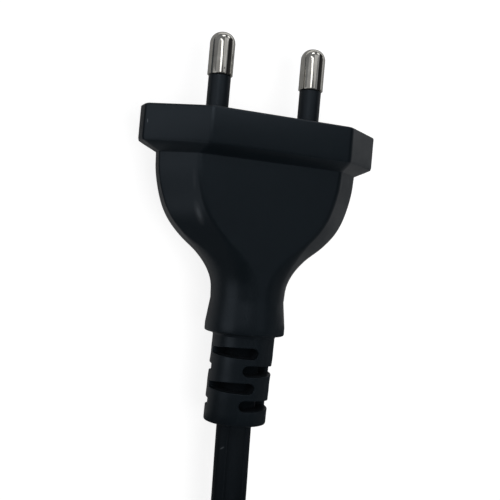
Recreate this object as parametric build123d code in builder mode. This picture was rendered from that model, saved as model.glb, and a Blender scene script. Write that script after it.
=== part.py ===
from build123d import *
import math
import os

# A two-pin mains plug moulded onto a flat two-core cord, lying on a broad face of its flange.
# Millimetres. X runs along the pin pitch, Y towards the pin tips, Z up from the floor.
# A depth is measured from the engagement face back towards the cord.

# Pins and their sleeves
PIN_PITCH = 19.0
PIN_DIAMETER = 4.8
PIN_LENGTH = 15.6
PIN_TIP_SHARE = 0.98
SLEEVE_LENGTH = 7.7
SLEEVE_STEP = 0.275
SLEEVE_WALL = 0.525
SLEEVE_SEAT = 1.5
LOCK_RING_HEIGHT = 1.0
LOCK_RING_LENGTH = 1.2
BARREL_WALL = 0.9
BARREL_LENGTH = 6.0
BARREL_FLOOR = 1.0

# Bridge that holds the pins
BRIDGE_COVER = 2.2
BRIDGE_LENGTH = 5.6
BRIDGE_WALL = 2.4
BRIDGE_ROUNDING = 1.5

# Flange
FLANGE_WIDTH = 47.4
FLANGE_FACET_RUN = 9.4
FLANGE_THICKNESS = 19.3
FLANGE_END_FLAT = 3.5
FLANGE_DEPTH = 6.7
FLANGE_PANEL_ROUNDING = 1.8
FLANGE_END_ROUNDING = 0.9
FACE_ROUNDING = 0.45
REAR_ROUNDING = 0.6

# Bevel behind the flange, grip, neck and collar
BEVEL_DEPTH = 2.2
GRIP_SIDE_INSET = 3.6
GRIP_FACE_INSET = 2.6
GRIP_FACET_RUN = 6.0
GRIP_END_FLAT = 2.4
GRIP_PANEL_ROUNDING = 1.8
GRIP_END_ROUNDING = 0.7
GRIP_LENGTH = 25.4
NECK_DIAMETER = 14.0
NECK_ROUNDNESS = 0.92
COLLAR_FLARE = 0.6
COLLAR_LENGTH = 6.4
COLLAR_LAND = 1.6
COLLAR_ROUNDING = 0.4

# The grip's taper from the bevel to the neck: the share of the way, the share of the
# width over the neck that is left there, and the share of the facet's extra run.
GRIP_TAPER = (
    (0.00, 1.000, 1.00),
    (0.13, 0.975, 1.00),
    (0.26, 0.915, 1.00),
    (0.38, 0.825, 1.00),
    (0.48, 0.695, 1.00),
    (0.58, 0.500, 0.90),
    (0.68, 0.265, 0.40),
    (0.78, 0.100, 0.12),
    (0.88, 0.020, 0.02),
    (1.00, 0.000, 0.00),
)

# Strain relief
RELIEF_STEP = 1.65
RELIEF_LENGTH = 17.0
RELIEF_ROUNDING = 0.5
SLOT_BITE = 1.75
SLOT_COUNT = 4
SLOT_START = 3.4
SLOT_PITCH = 3.25
SLOT_FLOOR_WIDTH = 1.1
SLOT_DRAFT = 4.5
SLOT_OVERLAP = 0.5

# Cord
CORD_WIDTH = 6.6
CORD_THICKNESS = 4.2
CORD_EDGE_FLAT = 0.8
SHEATH_WALL = 0.9
SHEATH_AHEAD_OF_NECK = 3.3
CORE_WALL = 0.6
CORE_GAP = 0.8
CORE_BEND_RADIUS = 6.0
CORE_LEAD_IN = 3.0
LEAD_STRAIGHT = 22.0
LEAD_BEND_RADIUS = 45.0
LEAD_BEARING = 40.0

# Coil of the cord's unseen length, its tie and its stripped end
COIL_MEAN_DIAMETER = 66.0
COIL_TURNS_ACROSS = 4
COIL_LAYERS = 2
COIL_ROUNDING = 1.6
TURN_GAP = 0.2
COIL_OFFSET = 17.0
COIL_BEHIND = 70.0
TIE_THICKNESS = 0.9
TIE_WIDTH = 8.0
TIE_BEARING = -50.0
STRIP_BEARING = 155.0
FAR_CORE_LENGTH = 34.0
FAR_STRAND_LENGTH = 8.0

# How near an edge's middle must be to a level to lie on it
ON_LEVEL = 0.01

# Sizes that follow from the ones above
SLEEVE_DIAMETER = PIN_DIAMETER - 2 * SLEEVE_STEP
SHANK_DIAMETER = SLEEVE_DIAMETER - 2 * SLEEVE_WALL
LOCK_RING_DIAMETER = SHANK_DIAMETER + 2 * LOCK_RING_HEIGHT
CORE_DIAMETER = CORD_THICKNESS - 2 * SHEATH_WALL
CONDUCTOR_DIAMETER = CORE_DIAMETER - 2 * CORE_WALL
CORE_PITCH = CORE_DIAMETER + CORE_GAP
CORD_ROUNDING = (CORD_THICKNESS - CORD_EDGE_FLAT) / 2
BARREL_DIAMETER = CONDUCTOR_DIAMETER + 2 * BARREL_WALL
GRIP_WIDTH = FLANGE_WIDTH - 2 * GRIP_SIDE_INSET
GRIP_THICKNESS = FLANGE_THICKNESS - 2 * GRIP_FACE_INSET
COLLAR_DIAMETER = NECK_DIAMETER + 2 * COLLAR_FLARE
RELIEF_DIAMETER = COLLAR_DIAMETER - 2 * RELIEF_STEP
RELIEF_CORE = RELIEF_DIAMETER - 2 * SLOT_BITE

# Depths
BRIDGE_REAR = BRIDGE_COVER + BRIDGE_LENGTH
BARREL_END = BRIDGE_REAR + BARREL_LENGTH
BEVEL_FOOT = FLANGE_DEPTH + BEVEL_DEPTH
NECK_DEPTH = BEVEL_FOOT + GRIP_LENGTH
COLLAR_DEPTH = NECK_DEPTH + COLLAR_LENGTH
RELIEF_DEPTH = COLLAR_DEPTH + RELIEF_LENGTH
SHEATH_DEPTH = NECK_DEPTH - SHEATH_AHEAD_OF_NECK

# Frame: the origin is under the middle of the plug, on the floor
FACE_Y = (RELIEF_DEPTH - PIN_LENGTH) / 2
AXIS_Z = FLANGE_THICKNESS / 2
EXIT_Y = FACE_Y - RELIEF_DEPTH

# Coil
COIL_X = -COIL_OFFSET
COIL_Y = EXIT_Y - COIL_BEHIND
TURN_PITCH = CORD_THICKNESS + TURN_GAP
LAYER_PITCH = CORD_WIDTH + TURN_GAP
COIL_ACROSS = COIL_TURNS_ACROSS * TURN_PITCH
COIL_HEIGHT = COIL_LAYERS * LAYER_PITCH
COIL_MEAN = COIL_MEAN_DIAMETER / 2
COIL_MID_Z = TIE_THICKNESS + COIL_HEIGHT / 2
OUTER_TURN = COIL_MEAN + (COIL_ACROSS - TURN_PITCH) / 2
LOW_TURN_Z = TIE_THICKNESS + LAYER_PITCH / 2
TOP_TURN_Z = TIE_THICKNESS + COIL_HEIGHT - LAYER_PITCH / 2
CORE_ANGLE = math.degrees(FAR_CORE_LENGTH / OUTER_TURN)
STRAND_ANGLE = math.degrees(FAR_STRAND_LENGTH / OUTER_TURN)
TIE_ANGLE = math.degrees(TIE_WIDTH / COIL_MEAN)
COIL_AXIS = Axis((COIL_X, COIL_Y, 0), (0, 0, 1))

# The lead's route: straight out of the strain relief, then down to the middle of the coil's turns
LEAD_ROUTE = (
    (0, EXIT_Y, AXIS_Z),
    (0, EXIT_Y - LEAD_STRAIGHT, AXIS_Z),
    (
        COIL_X + COIL_MEAN * math.cos(math.radians(LEAD_BEARING)),
        COIL_Y + COIL_MEAN * math.sin(math.radians(LEAD_BEARING)),
        LOW_TURN_Z,
    ),
)


def across(depth, x=0):
    """Plane square to the plug's axis at a depth, facing the cord, with its y axis up."""
    return Plane(origin=(x, FACE_Y - depth, AXIS_Z), x_dir=(1, 0, 0), z_dir=(0, -1, 0))


def coil_plane(bearing):
    """Upright plane through the coil's axis, with its x axis pointing out along a bearing."""
    angle = math.radians(bearing)
    outward = (math.cos(angle), math.sin(angle), 0)
    square = (math.sin(angle), -math.cos(angle), 0)
    return Plane(origin=(COIL_X, COIL_Y, 0), x_dir=outward, z_dir=square)


def moulded_section(depth, half_width, panel_half, half_thickness, end_half, panel_round, end_round):
    """Eight-sided section of the moulding: two broad panels, four facets and two narrow ends."""
    with BuildSketch(across(depth)) as section:
        with BuildLine():
            Polyline(
                (half_width, -end_half),
                (half_width, end_half),
                (panel_half, half_thickness),
                (-panel_half, half_thickness),
                (-half_width, end_half),
                (-half_width, -end_half),
                (-panel_half, -half_thickness),
                (panel_half, -half_thickness),
                close=True,
            )
        make_face()
        by_height = section.vertices().group_by(Axis.Y)
        fillet(by_height[0] + by_height[-1], panel_round)
        by_width = section.vertices().group_by(Axis.X)
        fillet(by_width[0] + by_width[-1], end_round)
    return section.sketch


def flange_section(depth):
    """Section of the flange at a depth."""
    return moulded_section(
        depth,
        FLANGE_WIDTH / 2,
        FLANGE_WIDTH / 2 - FLANGE_FACET_RUN,
        FLANGE_THICKNESS / 2,
        FLANGE_END_FLAT / 2,
        FLANGE_PANEL_ROUNDING,
        FLANGE_END_ROUNDING,
    )


def round_section(depth, diameter):
    """Nearly round section: a regular octagon with its corners rounded almost to a circle."""
    radius = diameter / 2
    half_side = radius * math.tan(math.pi / 8)
    rounding = NECK_ROUNDNESS * radius
    return moulded_section(depth, radius, half_side, radius, half_side, rounding, rounding)


def grip_section(way, width_left, run_left):
    """Section of the grip at a share of the way from the bevel's foot to the neck."""
    neck = NECK_DIAMETER / 2
    neck_side = neck * math.tan(math.pi / 8)
    neck_round = NECK_ROUNDNESS * neck
    half_width = neck + (GRIP_WIDTH / 2 - neck) * width_left
    run = (neck - neck_side) + (GRIP_FACET_RUN - neck + neck_side) * run_left
    half_thickness = neck + (GRIP_THICKNESS / 2 - neck) * width_left
    end_half = neck_side + (GRIP_END_FLAT / 2 - neck_side) * width_left
    panel_round = neck_round + (GRIP_PANEL_ROUNDING - neck_round) * run_left
    end_round = neck_round + (GRIP_END_ROUNDING - neck_round) * max(width_left, run_left)
    depth = BEVEL_FOOT + GRIP_LENGTH * way
    return moulded_section(depth, half_width, half_width - run, half_thickness, end_half, panel_round, end_round)


def core_route(x, start_depth):
    """Route of one core in the plug, from its crimp barrel to the end of the cord's sheath."""
    side = math.copysign(1, x)
    return (
        (x, FACE_Y - start_depth, AXIS_Z),
        (x, FACE_Y - BARREL_END - CORE_LEAD_IN, AXIS_Z),
        (side * CORE_PITCH / 2, FACE_Y - SHEATH_DEPTH + CORE_LEAD_IN, AXIS_Z),
        (side * CORE_PITCH / 2, FACE_Y - SHEATH_DEPTH, AXIS_Z),
    )


os.makedirs("parts", exist_ok=True)
inner_pieces = []

# Pins, sleeves, conductors and cores, one of each on either side
for side_name, x in (("left", -PIN_PITCH / 2), ("right", PIN_PITCH / 2)):
    # Pin: bare contact with a round tip, thin shank, locking ring and hollow crimp barrel
    with BuildPart() as pin:
        with BuildSketch(across(-PIN_LENGTH, x)):
            Circle(PIN_DIAMETER / 2)
        extrude(amount=PIN_LENGTH - SLEEVE_LENGTH)
        fillet(pin.edges().sort_by(Axis.Y)[-1], PIN_TIP_SHARE * PIN_DIAMETER / 2)
        with BuildSketch(across(-SLEEVE_LENGTH, x)):
            Circle(SHANK_DIAMETER / 2)
        extrude(amount=SLEEVE_LENGTH + BRIDGE_REAR)
        with BuildSketch(across(BRIDGE_COVER + (BRIDGE_LENGTH + SLEEVE_SEAT) / 2, x)):
            Circle(LOCK_RING_DIAMETER / 2)
        extrude(amount=LOCK_RING_LENGTH)
        with BuildSketch(across(BRIDGE_REAR, x)):
            Circle(BARREL_DIAMETER / 2)
        extrude(amount=BARREL_LENGTH)
        with BuildSketch(across(BRIDGE_REAR + BARREL_FLOOR, x)):
            Circle(CONDUCTOR_DIAMETER / 2)
        extrude(amount=BARREL_LENGTH - BARREL_FLOOR, mode=Mode.SUBTRACT)
    pin.part.label = f"{side_name}_pin"
    export_step(pin.part, f"parts/{side_name}_pin.step")
    inner_pieces.append(pin.part)

    # Sleeve: tube on the shank, from the bare contact to its seat in the bridge
    with BuildPart() as sleeve:
        with BuildSketch(across(-SLEEVE_LENGTH, x)):
            Circle(SLEEVE_DIAMETER / 2)
            Circle(SHANK_DIAMETER / 2, mode=Mode.SUBTRACT)
        extrude(amount=SLEEVE_LENGTH + BRIDGE_COVER + SLEEVE_SEAT)
    sleeve.part.label = f"{side_name}_pin_sleeve"
    export_step(sleeve.part, f"parts/{side_name}_pin_sleeve.step")
    inner_pieces.append(sleeve.part)

    # Conductor: copper strands from the floor of the crimp barrel to the cord
    with BuildPart() as conductor:
        start_depth = BRIDGE_REAR + BARREL_FLOOR
        with BuildLine():
            FilletPolyline(*core_route(x, start_depth), radius=CORE_BEND_RADIUS)
        with BuildSketch(across(start_depth, x)):
            Circle(CONDUCTOR_DIAMETER / 2)
        sweep()
    conductor.part.label = f"{side_name}_conductor"
    export_step(conductor.part, f"parts/{side_name}_conductor.step")
    inner_pieces.append(conductor.part)

    # Core: insulation over the conductor, from the crimp barrel to the cord's sheath
    with BuildPart() as core:
        with BuildLine():
            FilletPolyline(*core_route(x, BARREL_END), radius=CORE_BEND_RADIUS)
        with BuildSketch(across(BARREL_END, x)):
            Circle(CORE_DIAMETER / 2)
        sweep()
        add(conductor.part, mode=Mode.SUBTRACT)
    core.part.label = f"{side_name}_core"
    export_step(core.part, f"parts/{side_name}_core.step")
    inner_pieces.append(core.part)

# Bridge: hard block moulded round the two shanks and the sleeves' rear ends
with BuildPart() as pin_bridge:
    bridge_thickness = LOCK_RING_DIAMETER + 2 * BRIDGE_WALL
    with BuildSketch(across(BRIDGE_COVER)):
        RectangleRounded(PIN_PITCH + bridge_thickness, bridge_thickness, BRIDGE_ROUNDING)
    extrude(amount=BRIDGE_LENGTH)
    for piece in inner_pieces:
        add(piece, mode=Mode.SUBTRACT)
pin_bridge.part.label = "pin_bridge"
export_step(pin_bridge.part, "parts/pin_bridge.step")
inner_pieces.append(pin_bridge.part)

# The end of the cord that is moulded into the plug
with BuildPart() as cord_in_plug:
    with BuildSketch(across(SHEATH_DEPTH)):
        RectangleRounded(CORD_WIDTH, CORD_THICKNESS, CORD_ROUNDING)
    extrude(amount=RELIEF_DEPTH - SHEATH_DEPTH)
cord_in_plug.part.label = "cord_in_plug"
export_step(cord_in_plug.part, "parts/cord_in_plug.step")
inner_pieces.append(cord_in_plug.part)

# Outer moulding: flange, bevel, grip, neck, collar and slotted strain relief in one shot
with BuildPart() as outer_body:
    add(flange_section(0))
    extrude(amount=FLANGE_DEPTH, dir=(0, -1, 0))
    fillet(outer_body.faces().sort_by(Axis.Y)[-1].edges(), FACE_ROUNDING)
    add(flange_section(FLANGE_DEPTH))
    add(grip_section(*GRIP_TAPER[0]))
    loft(ruled=True)
    for station in GRIP_TAPER:
        add(grip_section(*station))
    add(round_section((NECK_DEPTH + COLLAR_DEPTH - COLLAR_LAND) / 2, (NECK_DIAMETER + COLLAR_DIAMETER) / 2))
    add(round_section(COLLAR_DEPTH - COLLAR_LAND, COLLAR_DIAMETER))
    add(round_section(COLLAR_DEPTH, COLLAR_DIAMETER))
    loft()
    fillet(outer_body.faces().sort_by(Axis.Y)[0].edges(), COLLAR_ROUNDING)
    rear_y = FACE_Y - FLANGE_DEPTH
    rear_edges = outer_body.edges().filter_by_position(Axis.Y, rear_y - ON_LEVEL, rear_y + ON_LEVEL)
    fillet(rear_edges, REAR_ROUNDING)
    with BuildSketch(across(COLLAR_DEPTH)):
        Circle(RELIEF_DIAMETER / 2)
    extrude(amount=RELIEF_LENGTH)
    fillet(outer_body.faces().sort_by(Axis.Y)[0].edges(), RELIEF_ROUNDING)
    # Slots open to one side and then the other, with draft from the mould's parting plane
    slot_reach = RELIEF_DIAMETER / 2 + SLOT_OVERLAP
    for level in range(SLOT_COUNT):
        slot_y = FACE_Y - COLLAR_DEPTH - SLOT_START - level * SLOT_PITCH
        open_side = 1 if level % 2 else -1
        for up in (1, -1):
            floor = Plane(origin=(0, slot_y, AXIS_Z), x_dir=(up * open_side, 0, 0), z_dir=(0, 0, up))
            with BuildSketch(floor):
                with Locations((RELIEF_DIAMETER / 2, 0)):
                    SlotOverall(2 * slot_reach, SLOT_FLOOR_WIDTH)
            extrude(amount=RELIEF_DIAMETER / 2, taper=-SLOT_DRAFT, mode=Mode.SUBTRACT)
    with BuildSketch(across(COLLAR_DEPTH)):
        Circle(RELIEF_CORE / 2)
    extrude(amount=RELIEF_LENGTH)
    for piece in inner_pieces:
        add(piece, mode=Mode.SUBTRACT)
outer_body.part.label = "outer_body"
export_step(outer_body.part, "parts/outer_body.step")

# Coil: outer shape of the wound turns, open beside the stripped end on its upper outer turn
with BuildPart() as cord_coil:
    with BuildSketch(coil_plane(0)):
        with Locations((COIL_MEAN, COIL_MID_Z)):
            RectangleRounded(COIL_ACROSS, COIL_HEIGHT, COIL_ROUNDING)
    revolve(axis=COIL_AXIS)
    with BuildSketch(coil_plane(STRIP_BEARING)):
        with Locations((OUTER_TURN, TOP_TURN_Z)):
            Rectangle(TURN_PITCH, LAYER_PITCH)
    revolve(axis=COIL_AXIS, revolution_arc=CORE_ANGLE + STRAND_ANGLE, mode=Mode.SUBTRACT)
cord_coil.part.label = "cord_coil"
export_step(cord_coil.part, "parts/cord_coil.step")

# Tie: a band closed round the coil's turns
with BuildPart() as coil_tie:
    with BuildSketch(coil_plane(TIE_BEARING)):
        with Locations((COIL_MEAN, COIL_MID_Z)):
            RectangleRounded(
                COIL_ACROSS + 2 * TIE_THICKNESS,
                COIL_HEIGHT + 2 * TIE_THICKNESS,
                COIL_ROUNDING + TIE_THICKNESS,
            )
            RectangleRounded(COIL_ACROSS, COIL_HEIGHT, COIL_ROUNDING, mode=Mode.SUBTRACT)
    revolve(axis=COIL_AXIS, revolution_arc=TIE_ANGLE)
coil_tie.part.label = "coil_tie"
export_step(coil_tie.part, "parts/coil_tie.step")

# Stripped far end: two cores that follow the coil's upper outer turn, each ending in bare strands
for place, core_z in (("lower", TOP_TURN_Z - CORE_PITCH / 2), ("upper", TOP_TURN_Z + CORE_PITCH / 2)):
    with BuildPart() as far_core:
        with BuildSketch(coil_plane(STRIP_BEARING + STRAND_ANGLE)):
            with Locations((OUTER_TURN, core_z)):
                Circle(CORE_DIAMETER / 2)
        revolve(axis=COIL_AXIS, revolution_arc=CORE_ANGLE)
    far_core.part.label = f"far_core_{place}"
    export_step(far_core.part, f"parts/far_core_{place}.step")
    with BuildPart() as far_strands:
        with BuildSketch(coil_plane(STRIP_BEARING)):
            with Locations((OUTER_TURN, core_z)):
                Circle(CONDUCTOR_DIAMETER / 2)
        revolve(axis=COIL_AXIS, revolution_arc=STRAND_ANGLE)
    far_strands.part.label = f"far_strands_{place}"
    export_step(far_strands.part, f"parts/far_strands_{place}.step")

# Lead: the cord from the strain relief down to the floor and into the coil
with BuildPart() as cord_lead:
    with BuildLine() as lead_line:
        FilletPolyline(*LEAD_ROUTE, radius=LEAD_BEND_RADIUS)
    with BuildSketch(across(RELIEF_DEPTH)) as lead_section:
        RectangleRounded(CORD_WIDTH, CORD_THICKNESS, CORD_ROUNDING)
    sweep()
    lead_length = sum(edge.length for edge in lead_line.edges())
    lead_fullness = cord_lead.part.volume / lead_section.sketch.area / lead_length
    print("lead bend radius", LEAD_BEND_RADIUS)
    print("lead volume over section times length", round(lead_fullness, 4))
    add(cord_coil.part, mode=Mode.SUBTRACT)
cord_lead.part.label = "cord_lead"
export_step(cord_lead.part, "parts/cord_lead.step")
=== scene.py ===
"""Two-pin plug moulded onto a flat cord: the visible pieces, their finishes, the studio and the camera."""
import logging
import math
from dataclasses import dataclass, field
from enum import Enum
from typing import Iterable, Sequence

import bmesh
import bpy
from bmesh.types import BMEdge, BMesh, BMFace, BMVert
from mathutils import Matrix, Vector


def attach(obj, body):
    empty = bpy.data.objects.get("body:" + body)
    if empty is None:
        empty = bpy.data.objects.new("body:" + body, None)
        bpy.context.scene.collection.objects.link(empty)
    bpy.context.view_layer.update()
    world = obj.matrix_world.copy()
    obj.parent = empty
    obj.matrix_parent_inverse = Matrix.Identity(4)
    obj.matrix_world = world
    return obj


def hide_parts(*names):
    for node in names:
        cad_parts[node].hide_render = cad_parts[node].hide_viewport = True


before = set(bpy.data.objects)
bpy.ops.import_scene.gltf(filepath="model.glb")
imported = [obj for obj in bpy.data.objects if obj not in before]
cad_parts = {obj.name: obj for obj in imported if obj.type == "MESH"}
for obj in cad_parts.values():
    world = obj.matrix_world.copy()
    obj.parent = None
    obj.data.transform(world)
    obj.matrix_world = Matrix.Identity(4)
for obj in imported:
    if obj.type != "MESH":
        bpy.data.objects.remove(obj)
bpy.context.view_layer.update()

MM = 0.001
ROOT = "root"
LOG = logging.getLogger("plug")
Outline = list[tuple[float, float]]
Colour = tuple[float, float, float]


class Pole(Enum):
    """The two poles of the plug, by the side they stand on."""

    LEFT = -1
    RIGHT = 1


class CorePlace(Enum):
    """The two cores of the stripped end, one above the other."""

    LOWER = -1
    UPPER = 1


@dataclass(frozen=True)
class Datum:
    """Where the plug lies: its engagement face, its axis and the end of its strain relief, in mm."""

    face_y: float = 21.05
    axis_z: float = 9.65
    exit_depth: float = 57.7

    def at(self, x: float, depth: float, up: float) -> Vector:
        """Point in metres from a place across, a depth behind the face and a height over the axis."""
        return Vector((x, self.face_y - depth, self.axis_z + up)) * MM


DATUM = Datum()


# Mesh helpers


def clamp(value: float, low: float = 0.0, high: float = 1.0) -> float:
    """Value held between two limits."""
    return max(low, min(high, value))


def ease(value: float) -> float:
    """Smooth step from 0 to 1."""
    share = clamp(value)
    return share * share * (3 - 2 * share)


def smooth_table(rows: Sequence[tuple[float, ...]], where: float) -> tuple[float, ...]:
    """Reads a table of values on a smooth line through its rows.

    Args:
        rows: each row's place and then its values, in rising order of place.
        where: the place to read.

    Returns:
        The values there.
    """
    last = len(rows) - 1
    index = next((i for i in range(last) if where <= rows[i + 1][0]), last - 1)
    lower, upper = rows[index], rows[index + 1]
    before, after = rows[max(index - 1, 0)], rows[min(index + 2, last)]
    span = upper[0] - lower[0]
    share = clamp((where - lower[0]) / span)
    values = []
    for k in range(1, len(lower)):
        slope_in = (upper[k] - before[k]) / (upper[0] - before[0]) * span
        slope_out = (after[k] - lower[k]) / (after[0] - lower[0]) * span
        square, cube = share**2, share**3
        values.append(
            (2 * cube - 3 * square + 1) * lower[k]
            + (cube - 2 * square + share) * slope_in
            + (3 * square - 2 * cube) * upper[k]
            + (cube - square) * slope_out
        )
    return tuple(values)


def ring_edges(loop: Sequence[BMVert]) -> list[BMEdge]:
    """Edges that join a closed loop's vertices to each other."""
    members = set(loop)
    found = {edge for vert in loop for edge in vert.link_edges if edge.other_vert(vert) in members}
    return list(found)


def start_ring(bm: BMesh, places: Sequence[Vector]) -> list[BMVert]:
    """Makes a closed ring and lays it on the given places.

    Args:
        bm: mesh to add to.
        places: one place for each vertex, in order round the ring.

    Returns:
        The ring's vertices in that order.
    """
    loop = bmesh.ops.create_circle(bm, cap_ends=False, segments=len(places), radius=1.0)["verts"]
    for vert, place in zip(loop, places):
        vert.co = place
    return loop


def grow_ring(bm: BMesh, loop: Sequence[BMVert], places: Sequence[Vector]) -> list[BMVert]:
    """Extrudes a ring's edges and lays the new ring on the given places.

    Args:
        bm: mesh to add to.
        loop: the ring that is extruded.
        places: where each vertex of the new ring goes.

    Returns:
        The new ring's vertices, in the same order.
    """
    border = [edge for edge in ring_edges(loop) if len(edge.link_faces) < 2]
    made = bmesh.ops.extrude_edge_only(bm, edges=border)["geom"]
    fresh = {item for item in made if isinstance(item, BMVert)}
    grown = []
    for vert, place in zip(loop, places):
        partner = next(edge.other_vert(vert) for edge in vert.link_edges if edge.other_vert(vert) in fresh)
        partner.co = place
        grown.append(partner)
    return grown


def make_piece(bm: BMesh, name: str, sharp_degrees: float = 40.0) -> bpy.types.Object:
    """Turns a bmesh into a piece with smooth shading that is kept sharp at hard edges.

    Args:
        bm: the finished mesh, which is freed.
        name: name of the new object.
        sharp_degrees: angle between faces from which an edge stays sharp.

    Returns:
        The piece, linked to the scene, at the origin.
    """
    bmesh.ops.recalc_face_normals(bm, faces=bm.faces)
    mesh = bpy.data.meshes.new(name)
    bm.to_mesh(mesh)
    bm.free()
    mesh.shade_smooth()
    mesh.set_sharp_from_angle(angle=math.radians(sharp_degrees))
    piece = bpy.data.objects.new(name, mesh)
    bpy.context.scene.collection.objects.link(piece)
    return piece


def round_rims(piece: bpy.types.Object, width: float, degrees: float = 38.0, segments: int = 2) -> None:
    """Softens a piece's hard edges.

    Args:
        piece: the piece.
        width: width of the rounding, in mm.
        degrees: angle from which an edge is rounded.
        segments: steps across the rounding.
    """
    bevel = piece.modifiers.new("rims", "BEVEL")
    bevel.width = width * MM
    bevel.segments = segments
    bevel.limit_method = "ANGLE"
    bevel.angle_limit = math.radians(degrees)
    bevel.harden_normals = True


def settle(piece: bpy.types.Object, finish: bpy.types.Material, slot: str, *nodes: str) -> bpy.types.Object:
    """Gives a piece its finish and its body, and hides the solids that it stands for.

    Args:
        piece: the piece.
        finish: its material.
        slot: name of a material slot; not used.
        nodes: names of the solids that it replaces.

    Returns:
        The same piece.
    """
    piece.data.materials.clear()
    piece.data.materials.append(finish)
    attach(piece, ROOT)
    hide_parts(*nodes)
    LOG.info("%s stands for %s", piece.name, ", ".join(nodes))
    return piece


# Finishes


class NodeGraph:
    """Builds the nodes of one material on its Principled shader."""

    def __init__(self, name: str) -> None:
        """Starts a material of that name."""
        self.material = bpy.data.materials.new(name)
        self.material.use_nodes = True
        self.tree = self.material.node_tree
        self.shader = self.tree.nodes["Principled BSDF"]
        self.object_place = self.add("ShaderNodeTexCoord").outputs["Object"]

    def add(self, kind: str, values: dict | None = None, **settings: object) -> bpy.types.Node:
        """Adds a node.

        Args:
            kind: Blender's node type.
            values: input sockets' values, by name or number.
            settings: the node's own settings.

        Returns:
            The node.
        """
        node = self.tree.nodes.new(kind)
        for key, value in settings.items():
            setattr(node, key, value)
        for key, value in (values or {}).items():
            node.inputs[key].default_value = value
        return node

    def link(self, source: bpy.types.NodeSocket, target: bpy.types.NodeSocket) -> None:
        """Joins an output to an input."""
        self.tree.links.new(source, target)

    def set(self, **values: object) -> None:
        """Sets uniform values straight on the shader, with underscores for spaces in the names."""
        for key, value in values.items():
            self.shader.inputs[key.replace("_", " ")].default_value = value

    def attribute(self, name: str, output: str) -> bpy.types.NodeSocket:
        """Output of one of the mesh's own attributes."""
        return self.add("ShaderNodeAttribute", attribute_name=name).outputs[output]

    def stretched(self, place: bpy.types.NodeSocket, scale: Sequence[float]) -> bpy.types.NodeSocket:
        """Coordinates multiplied along each axis."""
        node = self.add("ShaderNodeMapping", {"Scale": tuple(scale)})
        self.link(place, node.inputs["Vector"])
        return node.outputs["Vector"]

    def noise(
        self, size: float, detail: float = 2.0, rough: float = 0.5, place: bpy.types.NodeSocket | None = None
    ) -> bpy.types.NodeSocket:
        """Noise with features of a size in mm.

        Args:
            size: about how far apart its patches are, in mm.
            detail: octaves.
            rough: strength of the finer octaves.
            place: coordinates; the object's own by default.

        Returns:
            The noise's value.
        """
        node = self.add("ShaderNodeTexNoise", {"Scale": 1 / (size * MM), "Detail": detail, "Roughness": rough})
        self.link(place or self.object_place, node.inputs["Vector"])
        return node.outputs["Fac"]

    def spread(
        self, value: bpy.types.NodeSocket, low: float, high: float, to_low: float, to_high: float
    ) -> bpy.types.NodeSocket:
        """Maps a range of values onto another.

        Args:
            value: what is mapped.
            low: start of its range.
            high: end of its range.
            to_low: what the start becomes.
            to_high: what the end becomes.

        Returns:
            The mapped value, held inside the new range.
        """
        node = self.add(
            "ShaderNodeMapRange",
            {"From Min": low, "From Max": high, "To Min": to_low, "To Max": to_high},
            interpolation_type="SMOOTHSTEP",
        )
        self.link(value, node.inputs["Value"])
        return node.outputs["Result"]

    def sum(self, kind: str, first: bpy.types.NodeSocket, second: bpy.types.NodeSocket | float) -> bpy.types.NodeSocket:
        """Result of a sum of two values.

        Args:
            kind: the sum, such as ADD or MULTIPLY.
            first: first value.
            second: second value, a socket or a number.

        Returns:
            The result.
        """
        node = self.add("ShaderNodeMath", operation=kind)
        self.link(first, node.inputs[0])
        if isinstance(second, (int, float)):
            node.inputs[1].default_value = second
        else:
            self.link(second, node.inputs[1])
        return node.outputs[0]

    def colours(self, value: bpy.types.NodeSocket, stops: Iterable[tuple[float, Colour]]) -> bpy.types.NodeSocket:
        """Colour that runs through the stops as a value rises.

        Args:
            value: from 0 to 1.
            stops: place and colour of each stop.

        Returns:
            The colour.
        """
        node = self.add("ShaderNodeValToRGB")
        elements = node.color_ramp.elements
        for index, (place, colour) in enumerate(stops):
            element = elements[index] if index < 2 else elements.new(place)
            element.position = place
            element.color = (*colour, 1.0)
        self.link(value, node.inputs["Fac"])
        return node.outputs["Color"]

    def bump(self, height: bpy.types.NodeSocket, depth: float, under: bpy.types.NodeSocket | None = None) -> bpy.types.NodeSocket:
        """Surface relief.

        Args:
            height: its height, from 0 to 1.
            depth: the height's full depth, in mm.
            under: normal of a relief below it.

        Returns:
            The normal.
        """
        node = self.add("ShaderNodeBump", {"Strength": 1.0, "Distance": depth * MM})
        self.link(height, node.inputs["Height"])
        if under is not None:
            self.link(under, node.inputs["Normal"])
        return node.outputs["Normal"]

    def near(self, ends: tuple[Vector, Vector], reach: float, core: float) -> bpy.types.NodeSocket:
        """Mask of a short stroke on the surface.

        Args:
            ends: the stroke's two ends, in metres.
            reach: its half width, in mm.
            core: share of the half width from which it fades.

        Returns:
            1 on the stroke, and 0 away from it.
        """
        start, end = ends
        middle, along = (start + end) / 2, end - start
        turn = along.to_track_quat("X", "Z").to_euler()
        node = self.add(
            "ShaderNodeMapping",
            {"Location": middle, "Rotation": turn, "Scale": (along.length / 2 + reach * MM, reach * MM, reach * MM)},
            vector_type="TEXTURE",
        )
        self.link(self.object_place, node.inputs["Vector"])
        length = self.add("ShaderNodeVectorMath", operation="LENGTH")
        self.link(node.outputs["Vector"], length.inputs[0])
        return self.spread(length.outputs["Value"], core, 1.0, 1.0, 0.0)


@dataclass(frozen=True)
class MarkAndHighlight:
    """A short stroke mask: a scrape or pit on the surface, and on the grip's ridge a painted highlight."""

    start: tuple[float, float, float]
    end: tuple[float, float, float]
    half_width: float
    core: float = 0.35
    strength: float = 1.0

    def mask(self, graph: NodeGraph) -> bpy.types.NodeSocket:
        """Mask of the stroke in a finish."""
        mask = graph.near((Vector(self.start) * MM, Vector(self.end) * MM), self.half_width, self.core)
        return mask if self.strength == 1.0 else graph.sum("MULTIPLY", mask, self.strength)


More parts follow.
